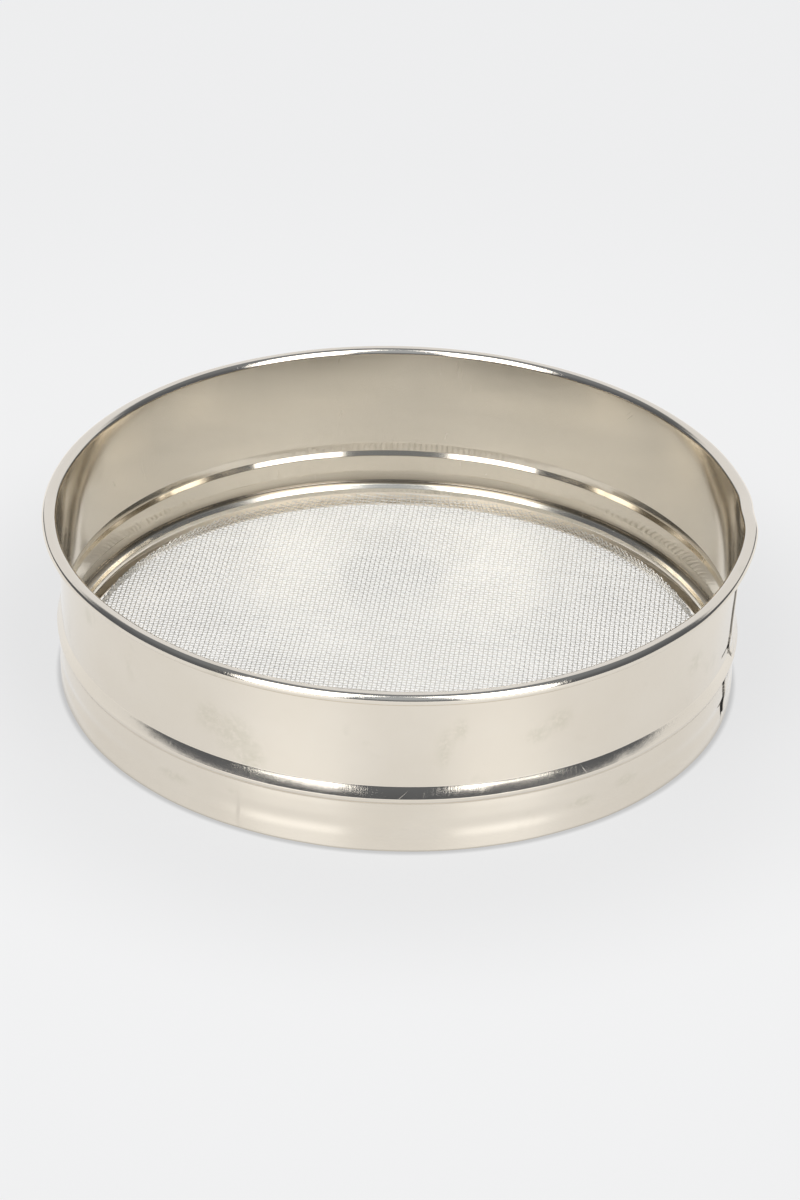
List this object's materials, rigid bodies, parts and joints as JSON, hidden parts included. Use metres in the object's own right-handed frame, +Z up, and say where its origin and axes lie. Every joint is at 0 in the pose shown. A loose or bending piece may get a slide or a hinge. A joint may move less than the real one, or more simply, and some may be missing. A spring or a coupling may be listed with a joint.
{
  "type": "tamis drum sieve",
  "caption": "Shallow round drum sieve: a polished sheet steel drum with a rolled rim and an outward bead, and a flat woven wire cloth clamped near its foot by an inner ring.",
  "frame": {"origin": "middle of the base, in the plane of the foot that the drum stands on", "axes": "+Z up along the drum's axis, towards the rolled rim; +X towards the side with the folded seam; the picture is taken from -Y"},
  "size_m": [0.2, 0.2, 0.0514],
  "materials": {
    "drum_steel": "polished, warm, with fine scratches",
    "ring_steel": "bright rolled strip",
    "wire_steel": "bright drawn wire"
  },
  "bodies": {
    "root": {"drum_wall": "drum_steel", "clamp_ring": "ring_steel", "weft_wires": "wire_steel", "warp_wires": "wire_steel"}
  },
  "joints": []
}
